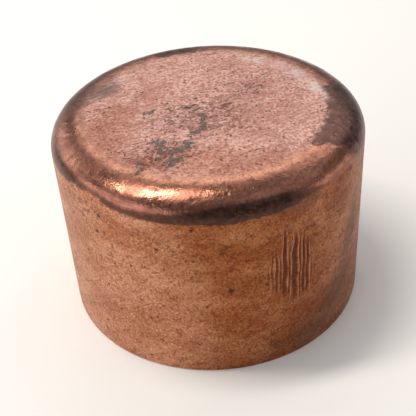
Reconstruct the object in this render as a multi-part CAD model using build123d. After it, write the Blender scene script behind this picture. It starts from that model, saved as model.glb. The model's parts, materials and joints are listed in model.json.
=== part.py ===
from build123d import *
import os

# A plain solder-joint cap for 54 mm copper tube, drawn in one piece from a flat disc.
# It stands on its open mouth: the origin is the centre of the rim plane and +Z points
# to the closed end. All sizes are in millimetres.

# The tube that the cap closes, and the gap that the solder fills all round it.
tube_diameter = 54.0
solder_gap = 0.075

# The straight socket, and the metal around and above it.
socket_depth = 34.0
wall_thickness = 1.5
end_thickness = 1.6

# The rolled shoulder between the wall and the flat end, measured on the outside.
shoulder_rise = 4.4
shoulder_reach = 6.2

# The trimmed rim: a small round outside and a lead-in for the tube inside.
rim_round = 0.35
lead_in_width = 0.35
lead_in_height = 0.7

# Radii and heights that follow from the sizes above.
bore_radius = tube_diameter / 2 + solder_gap
outer_radius = bore_radius + wall_thickness
flat_radius = outer_radius - shoulder_reach
overall_height = socket_depth + shoulder_rise
inner_end_height = overall_height - end_thickness
shoulder_center = (flat_radius, socket_depth)


def cap_profile():
    """Return half of the cap's section: X is the radius and Y is the height."""
    rim_inner = (bore_radius + lead_in_width, 0)
    rim_outer = (outer_radius - rim_round, 0)
    rim_round_top = (outer_radius, rim_round)
    lead_in_top = (bore_radius, lead_in_height)
    with BuildSketch(Plane.XZ) as section:
        with BuildLine():
            Line(rim_inner, rim_outer)
            JernArc(start=rim_outer, tangent=(1, 0), radius=rim_round, arc_size=90)
            Line(rim_round_top, (outer_radius, socket_depth))
            EllipticalCenterArc(shoulder_center, shoulder_reach, shoulder_rise, arc_size=90)
            Line((flat_radius, overall_height), (0, overall_height))
            Line((0, overall_height), (0, inner_end_height))
            Line((0, inner_end_height), (flat_radius, inner_end_height))
            EllipticalCenterArc(
                shoulder_center,
                shoulder_reach - wall_thickness,
                shoulder_rise - end_thickness,
                start_angle=90,
                arc_size=-90,
            )
            Line((bore_radius, socket_depth), lead_in_top)
            Line(lead_in_top, rim_inner)
        make_face()
    return section.sketch


def cap_shell():
    """Return the whole cap: the section turned once about the socket's axis."""
    return revolve(cap_profile(), axis=Axis.Z, revolution_arc=360)


os.makedirs("parts", exist_ok=True)
export_step(cap_shell(), "parts/cap_shell.step")
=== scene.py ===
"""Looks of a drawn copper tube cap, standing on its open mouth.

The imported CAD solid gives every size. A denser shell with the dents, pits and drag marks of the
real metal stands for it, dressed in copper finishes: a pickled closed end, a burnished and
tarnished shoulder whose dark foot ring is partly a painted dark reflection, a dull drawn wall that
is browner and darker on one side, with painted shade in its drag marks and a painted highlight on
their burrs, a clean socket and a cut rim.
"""

import json
import logging
import math
from dataclasses import dataclass, field
from enum import Enum

import bmesh
import bpy
from mathutils import Matrix, Quaternion, Vector, noise


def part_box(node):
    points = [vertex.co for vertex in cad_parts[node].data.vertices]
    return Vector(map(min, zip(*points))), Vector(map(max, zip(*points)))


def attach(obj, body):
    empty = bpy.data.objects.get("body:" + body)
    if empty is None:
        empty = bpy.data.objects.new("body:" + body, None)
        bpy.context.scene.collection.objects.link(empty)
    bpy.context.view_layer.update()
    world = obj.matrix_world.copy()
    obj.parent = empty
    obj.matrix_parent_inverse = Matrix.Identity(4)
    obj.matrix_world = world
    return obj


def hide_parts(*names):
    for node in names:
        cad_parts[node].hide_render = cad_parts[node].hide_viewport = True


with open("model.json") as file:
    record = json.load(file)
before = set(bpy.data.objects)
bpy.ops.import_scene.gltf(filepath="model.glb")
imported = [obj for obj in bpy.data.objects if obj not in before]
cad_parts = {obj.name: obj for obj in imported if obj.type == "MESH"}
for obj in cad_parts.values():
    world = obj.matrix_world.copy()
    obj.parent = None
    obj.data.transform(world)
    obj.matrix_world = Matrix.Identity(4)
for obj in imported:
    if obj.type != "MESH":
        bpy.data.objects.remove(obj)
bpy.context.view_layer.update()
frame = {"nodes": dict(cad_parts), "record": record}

LOG = logging.getLogger("tube_cap")

MM = 0.001
NODE = "cap_shell"

# The middle value of every cloudy pattern.
MIDDLE = 0.5

Socket = bpy.types.NodeSocket
Tree = bpy.types.NodeTree
Triple = tuple[float, float, float]
Feed = Socket | Triple | float | str


# ---------------------------------------------------------------- small tools


def smooth_step(value: float, low: float, high: float) -> float:
    """Return 0 below low, 1 above high and an S-curve between them.

    Args:
        value: The number to map.
        low: Where the curve leaves 0.
        high: Where the curve reaches 1. It may be less than low, which turns the curve round.

    Returns:
        A number from 0 to 1.
    """
    share = min(max((value - low) / (high - low), 0.0), 1.0)
    return share * share * (3.0 - 2.0 * share)


def waves(place: Vector, per_mm: float, shift: Triple = (0.0, 0.0, 0.0)) -> float:
    """Return a soft random wave from 0 to 1 at a place: per_mm waves to a millimetre."""
    return 0.5 + 0.5 * noise.noise(place * per_mm + Vector(shift))


def turn_between(angle: float, other: float) -> float:
    """Return the signed turn in degrees from other to angle, from -180 to 180."""
    return (angle - other + 180.0) % 360.0 - 180.0


def hex_to_linear(code: str) -> tuple[float, float, float, float]:
    """Turn an sRGB hex colour into the linear colour that a shader takes.

    Args:
        code: Six hexadecimal digits after a hash sign.

    Returns:
        Red, green, blue and an alpha of 1.
    """
    channels = (int(code[i:i + 2], 16) / 255.0 for i in (1, 3, 5))
    linear = (c / 12.92 if c <= 0.04045 else ((c + 0.055) / 1.055) ** 2.4 for c in channels)
    return (*linear, 1.0)


# ---------------------------------------------------------------- sizes


@dataclass(frozen=True)
class CapSizes:
    """The cap's sizes in millimetres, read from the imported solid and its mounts."""

    outer_radius: float
    bore_radius: float
    height: float
    wall_top: float
    flat_radius: float
    inner_end: float
    lead_in_height: float
    lead_in_radius: float
    rim_round: float

    @classmethod
    def from_frame(cls) -> "CapSizes":
        """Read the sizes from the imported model.

        Returns:
            The sizes that the shell is built to.
        """
        low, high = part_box(NODE)
        mounts = {m["name"]: m for m in frame["record"]["mounts"]}
        socket = mounts["socket"]
        bore = socket["dims"]["r_mm"]
        length = socket["dims"]["length_mm"]
        middle = socket["pos_m"][2] / MM
        outer = high.x / MM
        height = high.z / MM
        corners = [v.co / MM for v in frame["nodes"][NODE].data.vertices]
        spots = [(math.hypot(corner.x, corner.y), corner.z) for corner in corners]
        near = 0.001
        flat = max(r for r, z in spots if z > height - near)
        rim = [r for r, z in spots if z < low.z / MM + near]
        below_end = height - (outer - bore) / 2
        ceiling = max(z for r, z in spots if z < below_end and r < flat + near)
        return cls(
            outer_radius=outer,
            bore_radius=bore,
            height=height,
            wall_top=middle + length / 2,
            flat_radius=flat,
            inner_end=ceiling,
            lead_in_height=middle - length / 2,
            lead_in_radius=min(rim),
            rim_round=outer - max(rim),
        )

    def on_surface(self, azimuth: float, height: float) -> Vector:
        """Return a place on the ideal outside.

        Args:
            azimuth: Degrees round the axis.
            height: Height above the rim plane, in millimetres.

        Returns:
            The place in millimetres.
        """
        radius = self.outer_radius
        if height > self.wall_top:
            share = (height - self.wall_top) / (self.height - self.wall_top)
            reach = self.outer_radius - self.flat_radius
            radius = self.flat_radius + reach * math.sqrt(1.0 - share * share)
        turn = math.radians(azimuth)
        return Vector((radius * math.cos(turn), radius * math.sin(turn), height))

    def inside(self, radius: float, height: float) -> bool:
        """Return whether a point of the skin is on the socket's side of the sheet.

        Args:
            radius: The point's distance from the axis, in millimetres.
            height: Its height above the rim plane.

        Returns:
            True for the socket's side.
        """
        if height < self.wall_top:
            return radius < (self.outer_radius + self.bore_radius) / 2
        rise = (self.height + self.inner_end) / 2 - self.wall_top
        reach = (self.outer_radius + self.bore_radius) / 2 - self.flat_radius
        aside = max(radius - self.flat_radius, 0.0) / reach
        return math.hypot(aside, (height - self.wall_top) / rise) < 1.0


# ---------------------------------------------------------------- marks in the metal


@dataclass(frozen=True)
class Pit:
    """A small crater or dent, by its azimuth in degrees and its height in millimetres."""

    azimuth: float
    height: float
    radius: float
    depth: float

    def offset(self, place: Vector, centre: Vector) -> float:
        """Return how far the crater lowers the surface.

        Args:
            place: A point of the skin, in millimetres.
            centre: The crater's centre on the skin.

        Returns:
            A depth in millimetres, 0 outside the crater.
        """
        share = (place - centre).length_squared / (self.radius * self.radius)
        return self.depth * (1.0 - share) ** 2 if share < 1.0 else 0.0


@dataclass(frozen=True)
class DragMark:
    """An upright groove that a hard edge has dragged down the wall."""

    azimuth: float
    low: float
    high: float
    width: float
    depth: float
    burr: float = 0.22

    def offset(self, across: float, height: float) -> float:
        """Return how far the groove lowers the surface, or, below 0, how far its burr stands up.

        Args:
            across: Distance round the wall from the groove's middle, in millimetres.
            height: Height on the wall, in millimetres.

        Returns:
            A depth in millimetres.
        """
        if abs(across) > self.width * 1.5 or not self.low < height < self.high:
            return 0.0
        # It narrows upwards, sways a little, bites unevenly and fades at both ends.
        share = (height - self.low) / (self.high - self.low)
        width = self.width * (1.15 - 0.6 * smooth_step(share, 0.35, 0.95))
        sway = 0.35 * self.width * noise.noise(Vector((self.azimuth, height * 0.3, 0.0)))
        side = abs(across + sway) * 2.0 / width
        fade = smooth_step(share, 0.0, 0.25) * smooth_step(share, 1.0, 0.7)
        skip = 0.85 + 0.5 * noise.noise(Vector((0.0, height * 0.45, self.azimuth)))
        if side < 1.0:
            return self.depth * (1.0 - side ** 1.3) * fade * skip
        return -self.burr * self.depth * max(1.0 - abs(side - 1.3) / 0.3, 0.0) * fade


@dataclass(frozen=True)
class Spot:
    """A soft oval on the closed end, in millimetres and degrees."""

    x: float
    y: float
    long_side: float
    short_side: float
    turn: float = 0.0
    strength: float = 1.0

    def value(self, x: float, y: float) -> float:
        """Return the spot's strength at a place: its full strength in the middle, 0 at its edge.

        Args:
            x: The place's X in millimetres.
            y: Its Y in millimetres.

        Returns:
            The strength, under 0 outside the spot.
        """
        angle = math.radians(self.turn)
        dx, dy = x - self.x, y - self.y
        along = (dx * math.cos(angle) + dy * math.sin(angle)) / self.long_side
        aside = (dy * math.cos(angle) - dx * math.sin(angle)) / self.short_side
        return self.strength * max(1.0 - math.hypot(along, aside), -1.0)


@dataclass(frozen=True)
class WallStain:
    """A soft oval stain on the wall: azimuth in degrees, the rest in millimetres."""

    azimuth: float
    height: float
    wide: float
    tall: float
    strength: float = 1.0
    lean: float = 0.0

    def value(self, azimuth: float, height: float, around: float) -> float:
        """Return the stain's strength at a place, under 0 outside it.

        Args:
            azimuth: The place's azimuth in degrees.
            height: The place's height in millimetres.
            around: Millimetres of wall to one degree.

        Returns:
            The strength.
        """
        up = height - self.height
        across = turn_between(azimuth, self.azimuth) * around - self.lean * up
        return self.strength * max(1.0 - math.hypot(across / self.wide, up / self.tall), -1.0)


@dataclass(frozen=True)
class BandStation:
    """The dark ring on the shoulder at one azimuth, partly tarnish and partly a painted dark reflection:
    its lower and upper edge and how dark it is.
    """

    azimuth: float
    low: float
    high: float
    strength: float
    finish_line: float


@dataclass
class WearMap:
    """Where the cap is dented, scored, stained and tarnished, where a dark reflection is painted round
    the foot of the shoulder, and where the wall is browner and darker on one side.

    The brown and grey patches lie between two azimuths, and one more azimuth is the middle of the
    wall's browner, darker side.
    """

    sizes: CapSizes
    hottest: float = -25.0
    brown_from: float = -39.0
    brown_to: float = 14.0
    brown_slant: float = 1.6
    back_brown_from: float = 84.0
    back_brown_to: float = 120.0
    grey_from: float = 137.0
    grey_middle: float = 156.0
    grey_to: float = 178.0
    pits: tuple[Pit, ...] = (
        Pit(-109.5, 28.0, 0.50, 0.12),
        Pit(-97.5, 26.2, 0.38, 0.10),
        Pit(-85.5, 19.2, 0.80, 0.20),
        Pit(-73.0, 19.2, 0.42, 0.12),
        Pit(-114.7, 11.8, 0.40, 0.12),
        Pit(-112.0, 12.5, 0.34, 0.10),
        Pit(-132.0, 16.2, 0.38, 0.10),
        Pit(-133.3, 27.8, 0.60, 0.08),
        Pit(-131.4, 31.5, 0.60, 0.08),
        Pit(-97.2, 32.6, 0.50, 0.10),
        Pit(-116.5, 2.0, 0.45, 0.12),
        Pit(-120.0, 23.0, 0.40, 0.10),
        Pit(-128.0, 17.5, 0.30, 0.08),
        Pit(-40.0, 21.0, 0.40, 0.10),
        Pit(12.0, 24.0, 0.55, 0.14),
        Pit(31.0, 9.0, 0.40, 0.10),
        Pit(58.0, 17.0, 0.60, 0.16),
        Pit(83.0, 28.0, 0.42, 0.12),
        Pit(109.0, 14.0, 0.50, 0.12),
        Pit(141.0, 22.0, 0.45, 0.12),
        Pit(166.0, 8.0, 0.55, 0.14),
        Pit(-168.0, 29.0, 0.40, 0.10),
    )
    dents: tuple[Pit, ...] = (
        Pit(-113.0, 36.6, 0.55, 0.050),
        Pit(-110.0, 36.3, 0.45, 0.045),
        Pit(-107.0, 36.6, 0.60, 0.055),
        Pit(-103.3, 36.5, 0.60, 0.055),
        Pit(-99.5, 36.6, 0.70, 0.065),
        Pit(-96.5, 37.1, 0.50, 0.045),
        Pit(-84.5, 37.6, 0.50, 0.050),
        Pit(-76.0, 37.7, 0.45, 0.040),
        Pit(-54.0, 38.2, 0.45, 0.040),
        Pit(-152.0, 37.0, 0.60, 0.050),
        Pit(-161.0, 36.4, 0.70, 0.060),
        Pit(-171.0, 36.8, 0.60, 0.050),
        Pit(171.0, 36.5, 0.70, 0.060),
        Pit(-20.0, 37.2, 0.60, 0.050),
        Pit(40.0, 36.8, 0.70, 0.060),
        Pit(74.0, 37.3, 0.60, 0.050),
        Pit(128.0, 36.9, 0.60, 0.050),
    )
    drag_marks: tuple[DragMark, ...] = (
        DragMark(-72.3, 17.0, 25.0, 0.5, 0.08),
        DragMark(-70.9, 15.5, 27.5, 0.55, 0.13),
        DragMark(-69.4, 14.5, 29.0, 0.6, 0.17),
        DragMark(-67.9, 15.0, 26.0, 0.5, 0.13),
        DragMark(-66.3, 13.5, 32.0, 0.85, 0.26),
        DragMark(-64.5, 13.5, 27.0, 0.5, 0.12),
        DragMark(-62.4, 12.0, 31.0, 1.2, 0.28),
        DragMark(-60.2, 13.0, 30.5, 0.5, 0.18),
        DragMark(-58.7, 12.5, 30.0, 0.65, 0.24),
        DragMark(-57.0, 12.5, 28.0, 0.75, 0.22),
        DragMark(-55.3, 15.0, 25.0, 0.5, 0.10),
        DragMark(-53.5, 16.0, 22.0, 0.4, 0.06),
        DragMark(118.0, 9.0, 19.0, 0.7, 0.08),
        DragMark(120.5, 7.0, 21.0, 0.9, 0.12),
    )
    oxide_spots: tuple[Spot, ...] = (
        Spot(-8.2, -11.4, 3.4, 1.9, -35.0, 1.2),
        Spot(-6.4, -13.8, 4.0, 2.0, 25.0, 1.3),
        Spot(-3.6, -12.2, 3.2, 2.0, 50.0, 1.3),
        Spot(-5.6, -16.4, 3.4, 1.5, 15.0, 1.2),
        Spot(-8.6, -15.8, 2.6, 1.2, 30.0, 1.1),
        Spot(-6.4, -18.2, 2.6, 1.0, 10.0, 1.1),
        Spot(-2.6, -9.4, 3.2, 1.3, 60.0, 1.1),
        Spot(-0.8, -6.5, 3.6, 1.1, 85.0, 1.05),
        Spot(-1.6, -2.0, 2.8, 1.0, -55.0, 1.05),
        Spot(-3.2, -0.2, 1.8, 0.9, 0.0, 1.0),
        Spot(-7.0, -0.4, 2.6, 1.1, -25.0, 1.05),
        Spot(-9.8, -1.0, 2.8, 1.0, 40.0, 1.0),
        Spot(-11.9, -17.0, 1.7, 0.9, -20.0, 1.3),
        Spot(-11.5, -19.0, 1.6, 0.8, 50.0, 1.3),
        Spot(-18.0, -1.5, 1.3, 0.4, 0.0, 0.9),
        Spot(6.0, 12.0, 1.6, 0.6, 30.0, 0.45),
    )
    bloom_spots: tuple[Spot, ...] = (
        Spot(10.0, 17.0, 5.0, 2.6, -30.0, 0.75),
        Spot(14.8, 13.4, 5.0, 2.4, -45.0, 0.7),
        Spot(17.8, 9.6, 5.0, 2.8, -58.0, 0.9),
        Spot(20.4, 4.6, 5.0, 2.8, -68.0, 1.05),
        Spot(22.0, 1.2, 2.6, 1.1, -82.0, 1.1),
        Spot(-16.0, 12.0, 4.0, 2.0, 50.0, 0.5),
    )
    warm_spots: tuple[Spot, ...] = (
        Spot(-3.0, -18.0, 19.0, 7.5, 0.0, 1.3),
        Spot(-17.0, -7.0, 12.0, 7.0, 75.0, 1.2),
        Spot(-9.0, 9.0, 9.0, 4.0, 30.0, 0.7),
        Spot(6.0, -8.0, 9.0, 4.0, 20.0, 0.6),
    )
    dense_pitting: tuple[Spot, ...] = (
        Spot(-1.0, -3.0, 15.0, 11.0, 20.0, 1.2),
        Spot(-9.0, -14.0, 12.0, 8.0, 15.0, 0.9),
        Spot(8.0, 6.0, 12.0, 9.0, 0.0, 0.6),
    )
    smoke_stains: tuple[WallStain, ...] = (
        WallStain(-31.0, 21.0, 3.0, 13.0, 1.3, 0.25),
        WallStain(-40.0, 9.0, 5.5, 9.0, 1.1, 0.5),
        WallStain(-53.0, 3.5, 9.0, 4.5, 0.8, 0.3),
        WallStain(-66.0, 34.0, 5.0, 1.6, 1.2, 0.0),
        WallStain(-57.0, 33.5, 4.0, 2.0, 1.0, 0.5),
        WallStain(75.0, 10.0, 11.0, 6.0, 0.6, -0.8),
        WallStain(112.0, 30.5, 9.0, 3.0, 0.6, 0.0),
        WallStain(160.0, 26.0, 12.0, 4.0, 0.5, 1.2),
    )
    rust_stains: tuple[WallStain, ...] = (
        WallStain(-128.0, 32.0, 8.0, 2.6, 1.0, -1.0),
        WallStain(-112.0, 31.0, 5.0, 2.5, 0.8, 0.0),
        WallStain(-97.0, 30.5, 5.0, 3.0, 0.8, 0.0),
        WallStain(-84.0, 26.0, 5.0, 4.0, 0.7, 0.0),
        WallStain(-60.0, 31.0, 7.0, 4.5, 1.4, 0.3),
        WallStain(-43.0, 31.5, 7.0, 5.0, 1.3, 0.6),
        WallStain(-62.0, 22.0, 5.0, 9.0, 1.2, 0.0),
        WallStain(-77.0, 8.0, 9.0, 5.0, 0.8, 0.2),
        WallStain(-98.0, 9.0, 7.0, 2.0, 0.9, 0.8),
        WallStain(20.0, 27.0, 9.0, 5.0, 0.9, 0.3),
        WallStain(95.0, 20.0, 10.0, 6.0, 0.9, -0.4),
        WallStain(175.0, 10.0, 8.0, 6.0, 0.8, 0.2),
    )
    # The dark ring round the foot of the shoulder, station by station: partly tarnish, partly a painted
    # dark reflection.
    stations: tuple[BandStation, ...] = (
        BandStation(-180.0, 34.0, 36.4, 0.55, 34.0),
        BandStation(-155.0, 34.6, 36.6, 0.70, 34.6),
        BandStation(-134.0, 35.2, 36.3, 0.75, 35.2),
        BandStation(-120.0, 34.0, 35.3, 0.65, 34.1),
        BandStation(-106.0, 33.7, 35.5, 0.85, 33.7),
        BandStation(-95.0, 33.6, 36.2, 1.0, 33.6),
        BandStation(-84.0, 33.5, 36.8, 1.0, 33.5),
        BandStation(-66.0, 34.0, 36.8, 1.0, 34.0),
        BandStation(-56.0, 34.9, 36.2, 0.75, 34.5),
        BandStation(-49.0, 34.9, 35.2, 0.30, 34.6),
        BandStation(-38.0, 34.7, 34.9, 0.35, 34.4),
        BandStation(-20.0, 34.3, 34.8, 0.45, 34.2),
        BandStation(30.0, 34.0, 36.0, 0.65, 34.0),
        BandStation(80.0, 34.0, 36.6, 0.75, 34.0),
        BandStation(130.0, 34.3, 36.2, 0.50, 34.3),
        BandStation(180.0, 34.0, 36.4, 0.55, 34.0),
    )

    def band_at(self, azimuth: float) -> BandStation:
        """Return the shoulder's ring at any azimuth, between its two nearest stations.

        Args:
            azimuth: Degrees round the axis, from -180 to 180.

        Returns:
            The ring's edges, strength and finish line there.
        """
        for left, right in zip(self.stations, self.stations[1:]):
            if azimuth <= right.azimuth:
                share = (azimuth - left.azimuth) / (right.azimuth - left.azimuth)
                share = smooth_step(share, 0.0, 1.0)
                return BandStation(
                    azimuth,
                    left.low + share * (right.low - left.low),
                    left.high + share * (right.high - left.high),
                    left.strength + share * (right.strength - left.strength),
                    left.finish_line + share * (right.finish_line - left.finish_line),
                )
        return self.stations[-1]

    def brown_patch(self, azimuth: float, radius: float, height: float) -> float:
        """Return how deep a place lies in the brown stains that heating left on the shoulder, in
        millimetres.

        Args:
            azimuth: Degrees round the axis.
            radius: Distance from the axis.
            height: Height above the rim plane.

        Returns:
            A signed depth, over 0 inside a stain.
        """
        edge = self.sizes.flat_radius
        azimuth += 5.0 * noise.noise(Vector((radius * 0.5, height * 0.5, azimuth * 0.04)))
        lower = height - (self.sizes.wall_top + 0.3)
        inner = radius - (edge - 0.6)
        reach = 0.42
        start = self.brown_from + self.brown_slant * (radius - edge)
        first = self._within(azimuth, start, self.brown_to) * reach
        second = self._within(azimuth, self.back_brown_from, self.back_brown_to) * reach * 0.4
        return min(max(first, second - 1.0), inner, lower + 0.4)

    def _within(self, azimuth: float, start: float, end: float) -> float:
        """Return how many degrees an azimuth lies inside a stretch of the circle, under 0 outside."""
        return min(turn_between(azimuth, start), turn_between(end, azimuth))

    def heat_stain(self, azimuth: float, height: float) -> float:
        """Return how much browner and darker the wall is on one side, from 0 to 1."""
        lean = 0.35 * (height - self.sizes.wall_top / 2)
        return smooth_step(abs(turn_between(azimuth + lean, self.hottest)), 88.0, 62.0)

    def grey_patch(self, azimuth: float, radius: float, height: float) -> float:
        """Return how deep a place lies in the grey-brown tarnish at the end's edge.

        Args:
            azimuth: Degrees round the axis.
            radius: Distance from the axis, in millimetres.
            height: Height above the rim plane.

        Returns:
            A signed depth in millimetres, over 0 inside the tarnish.
        """
        reach = 0.36
        across = self._within(azimuth, self.grey_from, self.grey_to) * reach
        off_middle = abs(turn_between(azimuth, self.grey_middle))
        inner_limit = 17.0 + 5.5 * smooth_step(off_middle, 4.0, 20.0)
        return min(across, radius - inner_limit, height - (self.sizes.wall_top + 1.0))


# ---------------------------------------------------------------- the shell


@dataclass
class CapShell:
    """The drawn copper shell: closed end, shoulder, wall, rim and socket in one skin.

    The rows and segments say how fine its net is. The waves, drops and depths are in millimetres.
    """

    sizes: CapSizes
    wear: WearMap
    segments: int = 432
    wall_rows: int = 82
    shoulder_rows: int = 26
    end_rows: int = 50
    inside_wall_rows: int = 22
    inside_shoulder_rows: int = 10
    inside_end_rows: int = 12
    rim_rows: int = 4
    edge_rows: int = 3
    deep_drag: float = 0.2
    clear_pit: float = 1.6
    refine_margin: float = 0.3
    bore_wave: float = 0.012
    rim_drop: float = 0.02
    nick_depth: float = 0.05
    lean: float = 0.055
    ring_wave: float = 0.010
    end_wave: float = 0.035
    end_grain: float = 0.010
    hammer: float = 0.030
    hammer_grain: float = 0.012
    rolled_edge: float = 0.06
    wear_names: tuple[str, ...] = (
        "finish_line", "band", "band_strength", "brown", "grey", "oxide", "bloom",
        "pitting", "pitted", "dragged", "heat_tone", "smoke", "rust", "warm",
    )
    shape: bpy.types.Object | None = field(default=None, init=False)
    craters: list[tuple[Pit, Vector]] = field(default_factory=list, init=False)

    def __post_init__(self) -> None:
        """Place every pit and dent on the ideal skin."""
        marks = self.wear.pits + self.wear.dents
        self.craters = [(pit, self.sizes.on_surface(pit.azimuth, pit.height)) for pit in marks]

    def outline(self) -> list[tuple[float, float]]:
        """Return half of the section from the outside of the closed end round to the inside.

        Returns:
            Radius and height of each point, in millimetres, from the axis back to the axis.
        """
        s = self.sizes
        rise = s.height - s.wall_top
        reach = s.outer_radius - s.flat_radius
        inner_rise = s.inner_end - s.wall_top
        inner_reach = s.bore_radius - s.flat_radius
        points = [(s.flat_radius * i / self.end_rows, s.height) for i in range(self.end_rows)]
        for i in range(self.shoulder_rows):
            angle = math.pi / 2 * i / self.shoulder_rows
            points.append((s.flat_radius + reach * math.sin(angle), s.wall_top + rise * math.cos(angle)))
        for i in range(self.wall_rows):
            share = i / self.wall_rows
            points.append((s.outer_radius, s.wall_top + (s.rim_round - s.wall_top) * share))
        for i in range(self.edge_rows):
            angle = math.pi / 2 * i / self.edge_rows
            side = s.rim_round * (1.0 - math.cos(angle))
            points.append((s.outer_radius - side, s.rim_round * (1.0 - math.sin(angle))))
        outer_flat = s.outer_radius - s.rim_round
        for i in range(self.rim_rows):
            share = i / self.rim_rows
            points.append((outer_flat + (s.lead_in_radius - outer_flat) * share, 0.0))
        for i in range(self.edge_rows):
            share = i / self.edge_rows
            slope = s.lead_in_radius + (s.bore_radius - s.lead_in_radius) * share
            points.append((slope, s.lead_in_height * share))
        for i in range(self.inside_wall_rows):
            share = i / self.inside_wall_rows
            points.append((s.bore_radius, s.lead_in_height + (s.wall_top - s.lead_in_height) * share))
        for i in range(self.inside_shoulder_rows):
            angle = math.pi / 2 * i / self.inside_shoulder_rows
            points.append(
                (s.flat_radius + inner_reach * math.cos(angle), s.wall_top + inner_rise * math.sin(angle))
            )
        for i in range(self.inside_end_rows + 1):
            points.append((s.flat_radius * (1.0 - i / self.inside_end_rows), s.inner_end))
        return points

    def build(self) -> bpy.types.Object:
        """Spin the section into a closed skin, refine it where it is scored and press the marks in.

        Returns:
            The shell, with its attributes painted and its place in its mesh.
        """
        skin = bmesh.new()
        chain = [skin.verts.new((r * MM, 0.0, z * MM)) for r, z in self.outline()]
        for first, second in zip(chain, chain[1:]):
            skin.edges.new((first, second))
        bmesh.ops.spin(
            skin,
            geom=skin.verts[:] + skin.edges[:],
            cent=(0.0, 0.0, 0.0),
            axis=(0.0, 0.0, 1.0),
            dvec=(0.0, 0.0, 0.0),
            angle=math.tau,
            steps=self.segments,
            use_merge=True,
            use_normal_flip=False,
            use_duplicate=False,
        )
        bmesh.ops.remove_doubles(skin, verts=skin.verts[:], dist=0.002 * MM)
        bmesh.ops.recalc_face_normals(skin, faces=skin.faces[:])
        self._refine(skin)
        skin.normal_update()
        self._press(skin)
        mesh = bpy.data.meshes.new("drawn_shell")
        skin.to_mesh(mesh)
        skin.free()
        mesh.shade_smooth()
        self.shape = bpy.data.objects.new("drawn_shell", mesh)
        bpy.context.scene.collection.objects.link(self.shape)
        self._paint(mesh)
        return self.shape

    def _refine(self, skin: bmesh.types.BMesh) -> None:
        """Cut the skin finer round the drag marks, pits and dents, so that they keep their shape.

        Args:
            skin: The closed skin, before anything is pressed into it.
        """
        s = self.sizes
        margin = self.refine_margin
        level = 0.02
        radius = s.outer_radius
        drags = self.wear.drag_marks
        level_edges = []
        for edge in skin.edges:
            a, b = (v.co for v in edge.verts)
            if abs(a.z - b.z) > level * MM or math.hypot(a.x, a.y) < (radius - level) * MM:
                continue
            azimuth = math.degrees(math.atan2(a.y + b.y, a.x + b.x))
            height = a.z / MM
            for mark in drags:
                across = abs(turn_between(azimuth, mark.azimuth)) * math.pi / 180 * radius
                if across < mark.width * 0.8 + margin and mark.low < height < mark.high:
                    level_edges.append(edge)
                    break
        bmesh.ops.subdivide_edges(skin, edges=level_edges, cuts=2, use_grid_fill=True)
        near_marks = set()
        for face in skin.faces:
            middle = face.calc_center_median() / MM
            if middle.z < s.rim_round or s.inside(math.hypot(middle.x, middle.y), middle.z):
                continue
            for pit, centre in self.craters:
                gap = middle - centre
                if abs(gap.z) < pit.radius + margin and gap.length < pit.radius + margin:
                    near_marks.update(face.edges)
                    break
        bmesh.ops.subdivide_edges(skin, edges=list(near_marks), cuts=2, use_grid_fill=True)

    def _press(self, skin: bmesh.types.BMesh) -> None:
        """Lower each point of the skin into the metal by the depth of the marks there.

        Args:
            skin: The refined skin, with its normals up to date.
        """
        moves = []
        for vert in skin.verts:
            depth = self.relief(vert.co / MM)
            moves.append(vert.normal * (-depth * MM))
        for vert, move in zip(skin.verts, moves):
            vert.co += move

    def relief(self, place: Vector) -> float:
        """Return how far the real surface lies below the ideal one.

        Args:
            place: A point of the ideal skin, in millimetres.

        Returns:
            A depth in millimetres, never under 0, so that the shell stays in its box.
        """
        s = self.sizes
        radius = math.hypot(place.x, place.y)
        azimuth = math.degrees(math.atan2(place.y, place.x))
        if s.inside(radius, place.z):
            return self.bore_wave * waves(Vector((place.x, place.y, place.z * 0.15)), 1.3)
        if place.z < s.rim_round:
            nick = noise.noise(Vector((place.x, place.y, 0.0)) * 0.9 + Vector((7.0, 0.0, 0.0)))
            return self.rim_drop + self.nick_depth * max(nick - 0.25, 0.0)
        depth = self.lean * waves(place, 0.045, (3.1, 0.0, 1.7))
        for pit, centre in self.craters:
            if abs(place.z - centre.z) < pit.radius:
                depth += pit.offset(place, centre)
        if place.z > s.wall_top:
            return depth + self._end_relief(place, radius)
        depth += self.ring_wave * waves(Vector((place.x * 0.03, place.y * 0.03, place.z * 0.55)), 1.0)
        around = math.radians(1.0) * s.outer_radius
        for mark in self.wear.drag_marks:
            depth += mark.offset(turn_between(azimuth, mark.azimuth) * around, place.z)
        return max(depth, 0.0)

    def _end_relief(self, place: Vector, radius: float) -> float:
        """Return the depth of the end's waves and of the shoulder's hammered look.

        Args:
            place: A point above the wall, in millimetres.
            radius: Its distance from the axis.

        Returns:
            A depth in millimetres.
        """
        s = self.sizes
        end = self.end_wave * waves(place, 0.22, (0.0, 9.0, 0.0)) + self.end_grain * waves(place, 0.9)
        shoulder = self.hammer * waves(place, 0.62, (5.0, 0.0, 0.0))
        shoulder += self.hammer_grain * waves(place, 1.5, (0.0, 4.0, 0.0))
        shoulder *= smooth_step(place.z, s.wall_top, s.wall_top + 1.5)
        share = smooth_step(radius, s.flat_radius - 2.0, s.flat_radius + 1.0)
        rolled = self.rolled_edge * smooth_step(radius, s.flat_radius - 2.0, s.flat_radius + 0.4)
        rolled *= smooth_step(place.z, s.wall_top + 2.0, s.wall_top + 4.2)
        return end + (shoulder - end) * share + rolled

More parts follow.
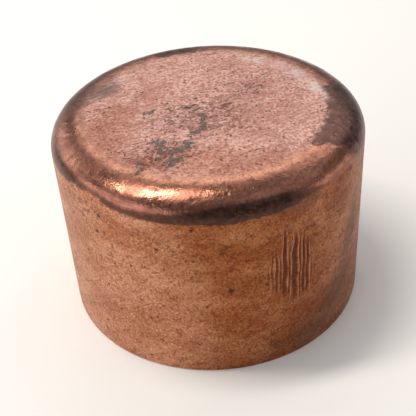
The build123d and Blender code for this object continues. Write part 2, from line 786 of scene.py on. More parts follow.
    def _paint(self, mesh: bpy.types.Mesh) -> None:
        """Store each kind of wear, and where light and shade are painted, as a number on every point, for
        the finishes to read.

        Args:
            mesh: The shell's finished mesh.
        """
        s = self.sizes
        values: dict[str, list[float]] = {name: [] for name in self.wear_names}
        around = math.radians(1.0) * s.outer_radius
        for vert in mesh.vertices:
            x, y, z = (c / MM for c in vert.co)
            radius = math.hypot(x, y)
            azimuth = math.degrees(math.atan2(y, x))
            # The dark ring's edges and strength: partly tarnish, partly a painted dark reflection.
            station = self.wear.band_at(azimuth)
            values["finish_line"].append(z - station.finish_line)
            values["band"].append(min(z - station.low + 0.5, station.high - z))
            values["band_strength"].append(station.strength)
            values["brown"].append(self.wear.brown_patch(azimuth, radius, z))
            values["grey"].append(self.wear.grey_patch(azimuth, radius, z))
            on_end = z > s.wall_top + 1.0
            values["oxide"].append(max(p.value(x, y) for p in self.wear.oxide_spots) if on_end else -1.0)
            values["bloom"].append(max(p.value(x, y) for p in self.wear.bloom_spots) if on_end else -1.0)
            values["pitting"].append(max(p.value(x, y) for p in self.wear.dense_pitting))
            pitted = dragged = 0.0
            if z < s.wall_top and not s.inside(radius, z):
                for pit, centre in self.craters:
                    if abs(z - pit.height) < pit.radius:
                        hit = pit.offset(vert.co / MM, centre)
                        pitted = max(pitted, min(self.clear_pit * hit / pit.depth, 1.0))
                # The drag marks' depth, under 0 on their burrs: the wall paints shade into the marks and a
                # highlight onto the burrs.
                for mark in self.wear.drag_marks:
                    hit = mark.offset(turn_between(azimuth, mark.azimuth) * around, z) / self.deep_drag
                    dragged = hit if abs(hit) > abs(dragged) else dragged
            values["warm"].append(max(p.value(x, y) for p in self.wear.warm_spots))
            # How much browner and darker the wall is on one side.
            values["heat_tone"].append(self.wear.heat_stain(azimuth, z))
            values["smoke"].append(max(w.value(azimuth, z, around) for w in self.wear.smoke_stains))
            values["rust"].append(max(w.value(azimuth, z, around) for w in self.wear.rust_stains))
            values["pitted"].append(pitted)
            values["dragged"].append(dragged)
        for name, numbers in values.items():
            mesh.attributes.new(name, "FLOAT", "POINT").data.foreach_set("value", numbers)

    def dress(self, skin: bpy.types.Material, socket: bpy.types.Material, rim: bpy.types.Material) -> None:
        """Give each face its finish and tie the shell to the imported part.

        Args:
            skin: The finish of the whole outside.
            socket: The finish of the inside.
            rim: The finish of the cut edge.
        """
        s = self.sizes
        mesh = self.shape.data
        for finish in (skin, socket, rim):
            mesh.materials.append(finish)
        for face in mesh.polygons:
            middle = face.center / MM
            radius = math.hypot(middle.x, middle.y)
            if s.inside(radius, middle.z):
                face.material_index = 1
            if middle.z < s.rim_round / 2 and radius > s.lead_in_radius - s.rim_round / 2:
                face.material_index = 2
        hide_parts(NODE)
        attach(self.shape, "root")


# ---------------------------------------------------------------- finishes


class Step(Enum):
    """A kind of node that the finishes use: its type and its fixed settings."""

    ADD = ("Math", {"operation": "ADD"})
    SUBTRACT = ("Math", {"operation": "SUBTRACT"})
    MULTIPLY = ("Math", {"operation": "MULTIPLY"})
    MAXIMUM = ("Math", {"operation": "MAXIMUM"})
    ABSOLUTE = ("Math", {"operation": "ABSOLUTE"})
    RAMP = ("MapRange", {"interpolation_type": "SMOOTHSTEP"})
    BLEND = ("Mix", {"data_type": "FLOAT"})
    TINT = ("Mix", {"data_type": "RGBA"})
    SHADE = ("Mix", {"data_type": "RGBA", "blend_type": "MULTIPLY"})
    COORDINATE = ("TexCoord", {})
    SCALE = ("VectorMath", {"operation": "SCALE"})
    FLATTEN = ("VectorMath", {"operation": "MULTIPLY"})
    LENGTH = ("VectorMath", {"operation": "LENGTH"})
    SPLIT = ("SeparateXYZ", {})
    JOIN = ("CombineXYZ", {})
    CHANNELS = ("SeparateColor", {})
    TURN = ("VectorRotate", {"rotation_type": "Z_AXIS"})
    MAPPING = ("Mapping", {})
    CLOUDS = ("TexNoise", {})
    CELLS = ("TexVoronoi", {})
    PAINTED = ("Attribute", {})
    BUMP = ("Bump", {})
    SHADER = ("BsdfPrincipled", {})
    SURFACE = ("OutputMaterial", {})


@dataclass
class Coat:
    """What one finish gives the shader: a colour, a roughness, a metal share and a height in mm.

    The metal share is a plain number where the finish has it the same all over.
    """

    colour: Socket
    roughness: Socket
    metal: Socket | float
    height: Socket


@dataclass
class Ground:
    """A material's node tree, and the places in millimetres that every finish on it reads."""

    holder: bpy.types.Material
    tree: Tree = field(init=False)
    place: Socket = field(init=False)
    radius: Socket = field(init=False)
    height: Socket = field(init=False)

    def __post_init__(self) -> None:
        """Measure the piece's own coordinates: the place, the radius and the height."""
        self.tree = self.holder.node_tree
        coordinate = self.add(Step.COORDINATE).node
        self.place = self.add(Step.SCALE, coordinate.outputs["Object"], 1 / MM)
        self.height = self.add(Step.SPLIT, self.place).node.outputs["Z"]
        level = self.add(Step.FLATTEN, self.place, (1.0, 1.0, 0.0))
        self.radius = self.add(Step.LENGTH, level)

    @classmethod
    def of_new(cls, name: str) -> "Ground":
        """Make an empty material.

        Args:
            name: The material's name.

        Returns:
            The ground of its node tree.
        """
        material = bpy.data.materials.new(name)
        material.use_nodes = True
        material.node_tree.nodes.clear()
        return cls(material)

    def add(self, step: Step, *feeds: Feed, **named: Feed) -> Socket | None:
        """Add one node with its settings and links.

        Args:
            step: The kind of node.
            feeds: What goes into its inputs, in order: a number, a vector, a hex colour or a socket.
            named: The same for inputs by name, or a setting of the node.

        Returns:
            The node's first output in use, or None where it has none.
        """
        kind, settings = step.value
        node = self.tree.nodes.new("ShaderNode" + kind)
        for name, value in settings.items():
            setattr(node, name, value)
        pairs = list(zip([socket for socket in node.inputs if socket.enabled], feeds))
        for name, value in named.items():
            if name in node.inputs:
                pairs.append((node.inputs[name], value))
            else:
                setattr(node, name, value)
        for socket, value in pairs:
            if isinstance(value, Socket):
                self.tree.links.new(value, socket)
            else:
                socket.default_value = hex_to_linear(value) if isinstance(value, str) else value
        return next((socket for socket in node.outputs if socket.enabled), None)

    def wear(self, name: str) -> Socket:
        """Return a number stored on the shell's points: a kind of wear, or where light or shade is painted.
        """
        return self.add(Step.PAINTED, attribute_name=name).node.outputs["Fac"]

    def total(self, *terms: tuple[Socket, float]) -> Socket:
        """Return several patterns added up.

        Args:
            terms: Each pattern with its weight.

        Returns:
            The sum's socket.
        """
        result = None
        for socket, weight in terms:
            part = socket if weight == 1.0 else self.add(Step.MULTIPLY, socket, weight)
            result = part if result is None else self.add(Step.ADD, result, part)
        return result

    def stain(self, under: Feed, over: Feed, pattern: Socket, low: float, high: float,
              strength: float = 1.0) -> Socket:
        """Return a colour with another laid over it where a pattern is strong.

        Args:
            under: The colour below.
            over: The colour of the stain.
            pattern: What decides where the stain lies.
            low: The pattern's value where the stain begins.
            high: The pattern's value where it is full.
            strength: How much of the stain's colour shows there.

        Returns:
            The stained colour's socket.
        """
        return self.add(Step.TINT, self.add(Step.RAMP, pattern, low, high, 0.0, strength), under, over)

    def cover(self, share: Socket, under: Coat, over: Coat) -> Coat:
        """Lay one coat over another.

        Args:
            share: Where the upper coat shows, from 0 to 1.
            under: The lower coat.
            over: The upper coat.

        Returns:
            The two as one coat.
        """
        return Coat(
            self.add(Step.TINT, share, under.colour, over.colour),
            self.add(Step.BLEND, share, under.roughness, over.roughness),
            self.add(Step.BLEND, share, under.metal, over.metal),
            self.add(Step.BLEND, share, under.height, over.height),
        )

    def clouds(self, size_mm: float, detail: float = 3.0, stretch: Triple = (1.0, 1.0, 1.0), *,
               turn: float = 0.0, shift: float = 0.0, rough: float = 0.5, warp: float = 0.0) -> Socket:
        """Return a cloudy pattern about 0.5.

        Args:
            size_mm: Width of one cloud.
            detail: How many finer layers it carries.
            stretch: How many times longer the clouds are along X, Y and Z.
            turn: Turn of the stretch about Z, in degrees.
            shift: Moves the pattern, so that two patterns differ.
            rough: How strong the finer layers are.
            warp: How far the pattern is twisted.

        Returns:
            The pattern's socket, from 0 to 1.
        """
        scale = tuple(1.0 / (size_mm * s) for s in stretch)
        turned = self.add(Step.TURN, self.place, Angle=math.radians(-turn))
        placed = self.add(Step.MAPPING, turned, Location=(shift, -shift, shift), Scale=scale)
        return self.add(Step.CLOUDS, placed, Scale=1.0, Detail=detail, Roughness=rough, Distortion=warp)

    def swing(self, size_mm: float, detail: float, shift: float, rough: float = 0.5) -> Socket:
        """Return a cloudy pattern about 0, for moving an edge to and fro."""
        return self.add(Step.SUBTRACT, self.clouds(size_mm, detail, shift=shift, rough=rough), MIDDLE)

    def climbing_streaks(self, width_mm: float, length_mm: float, twist: float, shift: float) -> Socket:
        """Return fine streaks that climb round the axis.

        Args:
            width_mm: Width of a streak, measured level.
            length_mm: Height over which one streak lasts.
            twist: Degrees round the axis for each millimetre of height.
            shift: Moves the pattern.

        Returns:
            The pattern's socket, from 0 to 1.
        """
        angle = self.add(Step.MULTIPLY, self.height, math.radians(-twist))
        twisted = self.add(Step.TURN, self.place, Angle=angle)
        scale = (1 / width_mm, 1 / width_mm, 1 / length_mm)
        placed = self.add(Step.MAPPING, twisted, Location=(shift, shift, shift), Scale=scale)
        return self.add(Step.CLOUDS, placed, Scale=1.0, Detail=3.0)

    def crooked_lines(self, pattern: Socket, half_width: float) -> Socket:
        """Return thin crooked lines, where a cloudy pattern crosses its middle value."""
        off = self.add(Step.ABSOLUTE, self.add(Step.SUBTRACT, pattern, MIDDLE))
        return self.add(Step.RAMP, off, half_width, 0.0)

    def specks(self, cell_mm: float, low: float, high: float, share: Feed) -> Socket:
        """Return small round specks, one in some of the cells of a random net.

        Args:
            cell_mm: Width of a cell.
            low: Radius of a speck's core, as a share of the cell.
            high: Radius where it ends, as a share of the cell.
            share: How many of the cells hold one, from 0 to 1.

        Returns:
            A socket that is 1 in the specks.
        """
        net = self.add(Step.CELLS, self.place, Scale=1.0 / cell_mm).node
        chance = self.add(Step.CHANNELS, net.outputs["Color"])
        held = self.add(Step.RAMP, self.add(Step.SUBTRACT, share, chance), 0.0, 0.08)
        core = self.add(Step.RAMP, net.outputs["Distance"], high, low)
        return self.add(Step.MULTIPLY, core, held)

    def finish(self, coat: Coat) -> bpy.types.Material:
        """Feed a coat to the material's shader.

        Args:
            coat: The finished coat.

        Returns:
            The material.
        """
        bump = self.add(Step.BUMP, Strength=1.0, Distance=MM, Height=coat.height)
        surface = {"Roughness": coat.roughness, "Metallic": coat.metal, "Normal": bump}
        self.add(Step.SURFACE, self.add(Step.SHADER, coat.colour, **surface))
        return self.holder


@dataclass(frozen=True)
class PickledEnd:
    """Annealed copper dipped in acid: a dull pink skin, finely etched, with dark pores.

    Etched grains are a few hundredths of a millimetre wide, too fine to show, so they are drawn
    ten times as coarse.
    """

    pale: str = "#DCB0A3"
    deep: str = "#AF7A6B"
    fleck: str = "#F0CDC4"
    warm: str = "#E4CEC1"
    pore: str = "#573127"
    cloud_mm: float = 7.0
    grain_mm: float = 0.55
    streak_mm: float = 0.7
    wrinkle_mm: float = 1.1
    pore_mm: float = 0.75
    grain_height: float = 0.07
    streak_height: float = 0.06
    pore_depth: float = 0.05

    def coat(self, g: Ground) -> Coat:
        """Return the end's coat.

        Args:
            g: The ground it is laid on.

        Returns:
            The coat.
        """
        clouds = g.clouds(self.cloud_mm, 4.0, (1.6, 1.0, 1.0), turn=14.0, shift=2.0)
        grain = g.clouds(self.grain_mm, 3.0, rough=0.65, shift=5.0)
        streak = g.clouds(self.streak_mm, 3.0, (9.0, 1.0, 1.0), turn=30.0, shift=1.0)
        wrinkle = g.clouds(self.wrinkle_mm, 4.0, (1.25, 1.0, 1.0), turn=25.0, shift=3.0, rough=0.66,
                           warp=1.0)
        colour = g.stain(self.pale, self.deep, clouds, 0.35, 0.7, 0.6)
        colour = g.stain(colour, self.deep, grain, 0.46, 0.62, 0.75)
        colour = g.stain(colour, self.deep, streak, 0.5, 0.66, 0.55)
        colour = g.stain(colour, self.fleck, grain, 0.46, 0.3, 0.6)
        warm = g.add(Step.ADD, g.wear("warm"), g.add(Step.SUBTRACT, clouds, MIDDLE))
        colour = g.stain(colour, g.add(Step.SHADE, 1.0, colour, self.warm), warm, 0.0, 0.8, 0.7)
        dense = g.add(Step.RAMP, g.wear("pitting"), 0.0, 1.0)
        pores = g.specks(self.pore_mm, 0.14, 0.40, g.add(Step.BLEND, dense, 0.2, 0.75))
        worn = g.add(Step.ADD, wrinkle, g.add(Step.BLEND, dense, -0.04, 0.045))
        holes = g.add(Step.RAMP, worn, 0.57, 0.63)
        creases = g.add(Step.MULTIPLY, g.crooked_lines(wrinkle, 0.02), g.add(Step.BLEND, dense, 0.15, 0.75))
        dark = g.add(Step.MAXIMUM, g.add(Step.MAXIMUM, pores, holes), creases)
        colour = g.add(Step.TINT, g.add(Step.MULTIPLY, dark, 0.8), colour, self.pore)
        folds = g.add(Step.MULTIPLY, wrinkle, g.add(Step.BLEND, dense, 0.07, 0.16))
        height = g.total((grain, self.grain_height), (folds, 1.0), (streak, self.streak_height),
                         (dark, -self.pore_depth))
        rough = g.add(Step.RAMP, grain, 0.3, 0.7, 0.44, 0.60)
        return Coat(colour, rough, g.add(Step.RAMP, dark, 0.0, 1.0, 1.0, 0.8), height)


@dataclass(frozen=True)
class BurnishedShoulder:
    """Copper rubbed smooth as the cup was drawn: brighter and glossier, with fine rub lines.

    Real rub lines are thinner than a hair, so the ones drawn here are as wide as a pencil line.
    """

    warm: str = "#C68E74"
    cool: str = "#9E6B5A"
    deep: str = "#74473A"
    # The colour and heights of the shoulder's darker tone towards its foot.
    film: str = "#74493C"
    film_top: float = 37.1
    film_low: float = 35.8
    cool_from: float = 23.0
    cool_to: float = 24.6
    cloud_mm: float = 3.5
    peel_mm: float = 1.2
    grain_mm: float = 0.45
    rub_mm: float = 0.5
    peel_height: float = 0.07
    grain_height: float = 0.035

    def coat(self, g: Ground) -> Coat:
        """Return the shoulder's coat.

        Args:
            g: The ground it is laid on.

        Returns:
            The coat.
        """
        clouds = g.clouds(self.cloud_mm, 4.0, shift=8.0)
        peel = g.clouds(self.peel_mm, 3.0, shift=4.0, rough=0.6)
        grain = g.clouds(self.grain_mm, 3.0, shift=7.0, rough=0.65)
        rub = g.clouds(self.rub_mm, 3.0, (5.0, 5.0, 0.5), shift=12.0)
        off_end = g.add(Step.RAMP, g.radius, self.cool_from, self.cool_to)
        cool = g.add(Step.MULTIPLY, off_end, g.add(Step.RAMP, clouds, 0.2, 0.6, 0.45, 1.0))
        colour = g.add(Step.TINT, cool, self.warm, self.cool)
        colour = g.stain(colour, self.deep, clouds, 0.5, 0.7, 0.4)
        colour = g.stain(colour, self.deep, grain, 0.45, 0.7, 0.7)
        colour = g.stain(colour, self.deep, peel, 0.5, 0.7, 0.6)
        colour = g.stain(colour, self.deep, rub, 0.5, 0.7, 0.6)
        # The shoulder turns darker towards its foot, as strongly as the dark ring there.
        lower = g.total((g.height, 1.0), (g.add(Step.SUBTRACT, peel, MIDDLE), 1.5))
        filmed = g.add(Step.RAMP, lower, self.film_top, self.film_low, 0.0, 0.62)
        colour = g.add(Step.TINT, g.add(Step.MULTIPLY, filmed, g.wear("band_strength")), colour, self.film)
        height = g.total((peel, self.peel_height), (grain, self.grain_height))
        rough = g.add(Step.RAMP, clouds, 0.35, 0.65, 0.22, 0.34)
        return Coat(colour, rough, 1.0, height)


@dataclass(frozen=True)
class DrawnWall:
    """Drawn copper left dull by annealing: orange-brown, mottled, with specks and faint rings.

    The crystal grain is finer than 0.1 mm, so it is drawn four times as coarse.
    """

    pale: str = "#CB9373"
    deep: str = "#B37452"
    red: str = "#824730"
    rust: str = "#8F4322"
    smoke: str = "#6C4A39"
    fleck: str = "#EBBFA0"
    # The tint of the wall's browner, darker side.
    heat: str = "#D0B695"
    # Painted shade in the drag marks, and the colour of the dark specks.
    drag: str = "#5C2F1E"
    speck: str = "#3A1D13"
    cloud_mm: float = 6.0
    mottle_mm: float = 1.2
    grain_mm: float = 0.4
    ring_mm: float = 0.9
    drift_mm: float = 3.2
    climb_mm: float = 0.7
    climb_length: float = 9.0
    climb_twist: float = 3.0
    speck_mm: float = 2.0
    dot_mm: float = 0.7
    grain_height: float = 0.06
    mottle_height: float = 0.10
    speck_depth: float = 0.05

    def coat(self, g: Ground) -> Coat:
        """Return the wall's coat.

        Args:
            g: The ground it is laid on.

        Returns:
            The coat.
        """
        clouds = g.clouds(self.cloud_mm, 4.0, (1.5, 1.5, 0.8), shift=11.0)
        mottle = g.clouds(self.mottle_mm, 4.0, (1.2, 1.2, 1.0), shift=6.0, rough=0.7, warp=0.8)
        grain = g.clouds(self.grain_mm, 3.0, shift=2.5, rough=0.7)
        rings = g.clouds(self.ring_mm, 3.0, (14.0, 14.0, 0.6), shift=9.0)
        climb = g.climbing_streaks(self.climb_mm, self.climb_length, self.climb_twist, 5.0)
        drift = g.clouds(self.drift_mm, 4.0, shift=41.0, rough=0.6, warp=0.6)
        colour = g.stain(self.pale, self.deep, clouds, 0.35, 0.68)
        colour = g.stain(colour, self.deep, rings, 0.5, 0.7, 0.4)
        rust = g.total((g.wear("rust"), 1.0), (g.add(Step.SUBTRACT, mottle, MIDDLE), 3.0))
        colour = g.stain(colour, self.rust, rust, 0.0, 0.9, 0.33)
        colour = g.stain(colour, self.red, mottle, 0.5, 0.66, 0.55)
        colour = g.stain(colour, self.red, climb, 0.55, 0.7, 0.38)
        colour = g.stain(colour, self.red, grain, 0.5, 0.65, 0.7)
        colour = g.stain(colour, self.fleck, grain, 0.46, 0.31, 0.55)
        # The wall is browner and darker on one side.
        hot = g.add(Step.MULTIPLY, g.wear("heat_tone"), g.add(Step.RAMP, clouds, 0.25, 0.6, 0.7, 1.0))
        colour = g.add(Step.TINT, hot, colour, g.add(Step.SHADE, 1.0, colour, self.heat))
        smoke = g.total((g.wear("smoke"), 1.0), (g.add(Step.SUBTRACT, drift, MIDDLE), 1.8))
        colour = g.stain(colour, self.smoke, smoke, 0.0, 0.8, 0.6)
        specks = g.specks(self.speck_mm, 0.05, 0.17, 0.5)
        specks = g.add(Step.MAXIMUM, specks, g.specks(self.dot_mm, 0.08, 0.3, 0.22))
        ragged = g.add(Step.RAMP, g.total((mottle, 1.0), (grain, 0.35)), 0.83, 0.88)
        specks = g.add(Step.MAXIMUM, specks, ragged)
        # Painted shade in the drag marks, darker where they are deeper, and a painted highlight on their
        # raised burrs.
        colour = g.stain(colour, self.drag, g.wear("dragged"), 0.08, 0.6, 0.85)
        colour = g.stain(colour, self.pale, g.wear("dragged"), 0.0, -0.12, 0.5)
        colour = g.add(Step.TINT, g.add(Step.MULTIPLY, specks, 0.7), colour, self.drag)
        colour = g.add(Step.TINT, g.add(Step.MULTIPLY, g.wear("pitted"), 0.85), colour, self.speck)
        height = g.total((grain, self.grain_height), (mottle, self.mottle_height),
                         (specks, -self.speck_depth))
        rough = g.add(Step.RAMP, mottle, 0.3, 0.7, 0.40, 0.54)
        dark = g.add(Step.MAXIMUM, specks, g.wear("pitted"))
        return Coat(colour, rough, g.add(Step.RAMP, dark, 0.0, 1.0, 0.95, 0.7), height)


@dataclass(frozen=True)
class Tarnish:
    """A brown to near black oxide film on smooth copper: dark but still glossy."""

    dark: str = "#49302A"
    edge: str = "#765145"
    rub: str = "#A67E6E"
    rough_low: float = 0.24
    rough_high: float = 0.42
    metal: float = 0.85
    cloud_mm: float = 1.4
    rub_mm: float = 2.6

    def coat(self, g: Ground) -> Coat:
        """Return the film's coat.

        Args:
            g: The ground it is laid on.

        Returns:
            The coat.
        """
        clouds = g.clouds(self.cloud_mm, 5.0, shift=13.0, rough=0.65)
        strokes = g.clouds(self.rub_mm, 3.0, (2.2, 1.0, 1.0), turn=-25.0, shift=37.0, rough=0.55,
                           warp=1.0)
        rubbed = g.crooked_lines(strokes, 0.018)
        colour = g.stain(self.dark, self.edge, clouds, 0.42, 0.66, 0.75)
        colour = g.add(Step.TINT, g.add(Step.MULTIPLY, rubbed, 0.45), colour, self.rub)
        rough = g.add(Step.RAMP, clouds, 0.3, 0.7, self.rough_low, self.rough_high)
        return Coat(colour, rough, self.metal, g.total((clouds, 0.04), (rubbed, 0.01)))


@dataclass(frozen=True)
class OxideCrust:
    """A thin grey-green crust of oxide: matt, ragged and a little raised."""

    colour: str = "#403C37"
    light: str = "#756C61"
    metal: float = 0.25
    grain_mm: float = 0.5
    thickness: float = 0.06

    def coat(self, g: Ground) -> Coat:
        """Return the crust's coat.

        Args:
            g: The ground it is laid on.

        Returns:
            The coat.
        """
        grain = g.clouds(self.grain_mm, 3.0, shift=17.0)
        colour = g.stain(self.colour, self.light, grain, 0.4, 0.7)
        rough = g.add(Step.RAMP, grain, 0.0, 1.0, 0.6, 0.8)
        return Coat(colour, rough, self.metal, g.add(Step.MULTIPLY, grain, self.thickness))


@dataclass(frozen=True)
class LimeBloom:
    """A chalky film left by dried pickle: pale, matt and patchy."""

    pale: str = "#E6DAD6"
    pink: str = "#CDB0A6"
    metal: float = 0.4
    grain_mm: float = 0.7
    thickness: float = 0.03

    def coat(self, g: Ground) -> Coat:
        """Return the bloom's coat.

        Args:
            g: The ground it is laid on.

        Returns:
            The coat.
        """
        grain = g.clouds(self.grain_mm, 3.0, shift=19.0)
        colour = g.stain(self.pale, self.pink, grain, 0.3, 0.7, 0.35)
        rough = g.add(Step.RAMP, grain, 0.0, 1.0, 0.55, 0.7)
        return Coat(colour, rough, self.metal, g.add(Step.MULTIPLY, grain, self.thickness))


@dataclass(frozen=True)
class OuterSkin:
    """The whole outside: pickled end, burnished shoulder, drawn wall, what has stained them, and a painted
    dark reflection in the ring round the shoulder's foot.

    It gives the eye a dull pink disc inside a glossy copper ring, over a warm, matt, speckled wall.
    """

    name: str = "copper_drawn_pickled_tarnished"
    end: PickledEnd = PickledEnd()
    shoulder: BurnishedShoulder = BurnishedShoulder()
    wall: DrawnWall = DrawnWall()
    # The dark ring round the shoulder's foot: partly tarnish, partly a painted dark reflection.
    ring: Tarnish = Tarnish("#432B25", "#5E4137", "#6C4B40")
    heated: Tarnish = Tarnish()
    grey: Tarnish = Tarnish("#5E4640", "#8A6A60", "#B4948A", 0.34, 0.5)
    crust: OxideCrust = OxideCrust()
    bloom: LimeBloom = LimeBloom()
    ragged_mm: float = 1.6
    fine_mm: float = 0.7
    broad_mm: float = 4.5
    bleed_mm: float = 0.9
    flake_mm: float = 1.1

    def material(self, sizes: CapSizes) -> bpy.types.Material:
        """Return the outside's material, with each finish laid where the metal has it, and a painted dark
        reflection in the ring round the shoulder's foot.

        Args:
            sizes: The cap's sizes.

        Returns:
            The material.
        """
        g = Ground.of_new(self.name)
        ragged = g.swing(self.ragged_mm, 4.0, shift=21.0, rough=0.6)
        fine = g.swing(self.fine_mm, 4.0, shift=23.0, rough=0.6)
        broad = g.swing(self.broad_mm, 3.0, shift=29.0)
        edge = g.add(Step.ADD, g.radius, ragged)
        on_end = g.add(Step.RAMP, edge, sizes.flat_radius + 0.6, sizes.flat_radius - 1.0)
        line = g.total((g.wear("finish_line"), 1.0), (ragged, 1.0), (broad, 1.6), (fine, 0.6))
        shiny = g.add(Step.RAMP, line, -0.3, 0.35)
        coat = g.cover(shiny, self.wall.coat(g), self.shoulder.coat(g))

        # The near black ring round the foot of the shoulder: partly tarnish that heating left, partly a
        # painted dark reflection.
        band = g.add(Step.RAMP, g.total((g.wear("band"), 1.0), (fine, 0.9)), 0.0, 0.6)
        band = g.add(Step.MULTIPLY, band, g.wear("band_strength"))
        band = g.add(Step.MULTIPLY, band, g.add(Step.RAMP, line, -0.45, 0.1))
        coat = g.cover(band, coat, self.ring.coat(g))

        # The pickled end, and the brown and grey stains that lie over its edge.
        coat = g.cover(on_end, coat, self.end.coat(g))
        brown = g.total((g.wear("brown"), 1.0), (ragged, 3.4))
        coat = g.cover(g.add(Step.RAMP, brown, -0.5, 0.6, 0.0, 0.92), coat, self.heated.coat(g))
        grey = g.add(Step.RAMP, g.total((g.wear("grey"), 1.0), (ragged, 5.0)), -1.0, 2.6)
        bleed = g.clouds(self.bleed_mm, 4.0, (6.0, 1.0, 1.0), turn=24.0, shift=27.0, rough=0.6)
        grey = g.add(Step.MULTIPLY, grey, g.add(Step.RAMP, bleed, 0.3, 0.62, 0.25, 0.8))
        coat = g.cover(grey, coat, self.grey.coat(g))

        # The chalky bloom and the flakes of oxide on the end.
        bloom = g.total((g.wear("bloom"), 1.0), (ragged, 1.6), (fine, 1.2))
        bloom = g.add(Step.MULTIPLY, g.add(Step.RAMP, bloom, 0.0, 1.1, 0.0, 0.6), on_end)
        coat = g.cover(bloom, coat, self.bloom.coat(g))
        flakes = g.clouds(self.flake_mm, 5.0, (1.2, 1.0, 1.0), turn=30.0, shift=33.0, rough=0.75, warp=0.5)
        crust = g.total((g.wear("oxide"), 1.0), (g.add(Step.SUBTRACT, flakes, MIDDLE), 6.0))
        coat = g.cover(g.add(Step.RAMP, crust, 0.5, 0.85, 0.0, 0.88), coat, self.crust.coat(g))
        return g.finish(coat)


@dataclass(frozen=True)
class SocketBore:
    """The inside, drawn over a smooth punch: bright clean copper with fine upright draw lines.

    Real draw lines are a few hundredths of a millimetre wide, so they are drawn ten times as coarse.
    """

    name: str = "copper_drawn_bright"
    pale: str = "#E7B094"
    deep: str = "#B87A5C"
    speck: str = "#4A2C20"
    line_mm: float = 0.5
    cloud_mm: float = 6.0
    speck_mm: float = 1.6
    line_height: float = 0.02

    def material(self) -> bpy.types.Material:
        """Return the socket's material.

        Returns:
            The material.
        """
        g = Ground.of_new(self.name)
        lines = g.clouds(self.line_mm, 3.0, (1.0, 1.0, 30.0), shift=3.0)
        clouds = g.clouds(self.cloud_mm, 4.0, shift=14.0)
        colour = g.stain(self.pale, self.deep, clouds, 0.3, 0.7)
        colour = g.stain(colour, self.deep, lines, 0.5, 0.8, 0.4)
        colour = g.add(Step.TINT, g.specks(self.speck_mm, 0.05, 0.2, 0.3), colour, self.speck)
        rough = g.add(Step.RAMP, lines, 0.3, 0.7, 0.28, 0.4)
        return g.finish(Coat(colour, rough, 1.0, g.add(Step.MULTIPLY, lines, self.line_height)))


@dataclass(frozen=True)
class CutRim:
    """The trimmed edge: freshly cut copper, bright, with fine turning rings.

    A trimming tool leaves rings about 0.05 mm apart, so they are drawn twice as coarse.
    """

    name: str = "copper_cut_edge"
    bright: str = "#E9AE8E"
    dull: str = "#B4775A"
    ring_mm: float = 0.12
    cloud_mm: float = 2.5
    ring_height: float = 0.02

    def material(self) -> bpy.types.Material:
        """Return the rim's material.

        Returns:
            The material.
        """
        g = Ground.of_new(self.name)
        along = g.add(Step.JOIN, g.radius)
        rings = g.add(Step.CLOUDS, along, Scale=1 / self.ring_mm, Detail=2.0)
        clouds = g.clouds(self.cloud_mm, 3.0, shift=15.0)
        colour = g.stain(self.bright, self.dull, clouds, 0.35, 0.7)
        rough = g.add(Step.RAMP, rings, 0.3, 0.7, 0.28, 0.42)
        return g.finish(Coat(colour, rough, 1.0, g.add(Step.MULTIPLY, rings, self.ring_height)))


# ---------------------------------------------------------------- studio


@dataclass(frozen=True)
class SoftLamp:
    """One soft box: where it hangs, what it lights and how large and strong it is."""

    name: str
    azimuth: float
    elevation: float
    distance: float
    width: float
    depth: float
    power: float
    colour: str
    spin: float = 0.0

    def hang(self, target: Vector) -> None:
        """Hang the lamp so that it faces the target.

        Args:
            target: The place it lights, in metres.
        """
        lamp = bpy.data.lights.new(self.name, "AREA")
        lamp.shape = "RECTANGLE"
        lamp.size = self.width
        lamp.size_y = self.depth
        lamp.energy = self.power
        lamp.color = hex_to_linear(self.colour)[:3]
        holder = bpy.data.objects.new(self.name, lamp)
        bpy.context.scene.collection.objects.link(holder)
        a, e = math.radians(self.azimuth), math.radians(self.elevation)
        away = Vector((math.cos(a) * math.cos(e), math.sin(a) * math.cos(e), math.sin(e)))
        holder.location = target + away * self.distance
        holder.rotation_mode = "QUATERNION"
        spin = Quaternion((0.0, 0.0, 1.0), math.radians(self.spin))
        holder.rotation_quaternion = away.to_track_quat("Z", "Y") @ spin


@dataclass(frozen=True)
class Viewpoint:
    """The camera: how far off, how high and how it is held, in millimetres and degrees."""

    distance: float = 160.2
    elevation: float = 36.22
    yaw: float = 0.31
    pitch: float = -1.10
    roll: float = -3.71
    lens: float = 71.3

    def place(self, middle: Vector) -> None:
        """Set up the scene's camera.

        Args:
            middle: The middle of the object, which the distance is measured from.
        """
        data = bpy.data.cameras.new("camera")
        data.lens = self.lens
        data.sensor_width = 36.0
        data.clip_start = 0.005
        data.clip_end = 20.0
        camera = bpy.data.objects.new("camera", data)
        bpy.context.scene.collection.objects.link(camera)
        e = math.radians(self.elevation)
        right = Vector((1.0, 0.0, 0.0))
        up = Vector((0.0, math.sin(e), math.cos(e)))
        back = Vector((0.0, -math.cos(e), math.sin(e)))
        held = Matrix((right, up, back)).transposed()
        held @= Matrix.Rotation(math.radians(self.yaw), 3, "Y")
        held @= Matrix.Rotation(math.radians(self.pitch), 3, "X")
        held @= Matrix.Rotation(math.radians(self.roll), 3, "Z")
        camera.matrix_world = Matrix.Translation(middle + back * self.distance * MM) @ held.to_4x4()
        bpy.context.scene.camera = camera


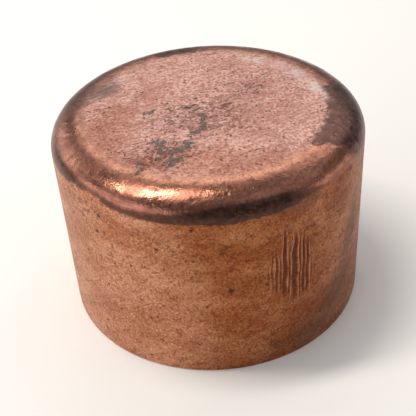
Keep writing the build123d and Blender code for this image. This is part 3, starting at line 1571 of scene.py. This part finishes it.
@dataclass
class Studio:
    """A pale floor, a pale room and soft lamps."""

    middle: Vector
    floor_radius: float = 3.0
    floor_colour: str = "#F4F3F1"
    room_colour: str = "#EFF1F5"
    room_strength: float = 0.27
    lamps: tuple[SoftLamp, ...] = (
        SoftLamp("window_left", 205.0, 18.0, 0.85, 1.10, 0.44, 3.7, "#FFFCFA"),
        SoftLamp("window_back", 76.0, 44.0, 0.70, 0.80, 0.40, 1.5, "#FFFBF9"),
        SoftLamp("fill_right", -20.0, 52.0, 0.90, 0.90, 0.70, 0.7, "#FFFDFB"),
        SoftLamp("card_right", -4.0, 9.0, 0.75, 0.70, 0.20, 0.7, "#FFF6EC"),
        SoftLamp("window_far", 142.0, 22.0, 0.85, 0.50, 0.40, 1.0, "#FFFBF9"),
        SoftLamp("strip_above", 172.0, 69.0, 0.55, 0.06, 0.31, 1.8, "#FFF9EE", 23.0),
    )

    def set_up(self) -> None:
        """Lay the floor, light the room and hang the lamps."""
        disc = bmesh.new()
        bmesh.ops.create_circle(disc, cap_ends=True, segments=96, radius=self.floor_radius)
        mesh = bpy.data.meshes.new("floor")
        disc.to_mesh(mesh)
        disc.free()
        floor = bpy.data.objects.new("floor", mesh)
        bpy.context.scene.collection.objects.link(floor)
        paper = bpy.data.materials.new("paper_matt_white")
        paper.use_nodes = True
        shader = paper.node_tree.nodes["Principled BSDF"]
        shader.inputs["Base Color"].default_value = hex_to_linear(self.floor_colour)
        shader.inputs["Roughness"].default_value = 0.9
        mesh.materials.append(paper)
        world = bpy.data.worlds.new("room")
        bpy.context.scene.world = world
        world.use_nodes = True
        background = world.node_tree.nodes["Background"]
        background.inputs["Color"].default_value = hex_to_linear(self.room_colour)
        background.inputs["Strength"].default_value = self.room_strength
        for lamp in self.lamps:
            lamp.hang(self.middle)
        bpy.context.scene.view_settings.view_transform = "Standard"


def main() -> None:
    """Build the cap's shell and its studio."""
    logging.basicConfig(level=logging.INFO, format="%(message)s")
    sizes = CapSizes.from_frame()
    LOG.info("sizes %s", sizes)
    shell = CapShell(sizes, WearMap(sizes))
    shell.build()
    LOG.info("drawn_shell: %d faces", len(shell.shape.data.polygons))
    shell.dress(OuterSkin().material(sizes), SocketBore().material(), CutRim().material())
    LOG.info("dressed in %s", [m.name for m in shell.shape.data.materials])
    middle = Vector((0.0, 0.0, sizes.height / 2 * MM))
    Studio(middle).set_up()
    Viewpoint().place(middle)


if __name__ == "__main__":
    main()
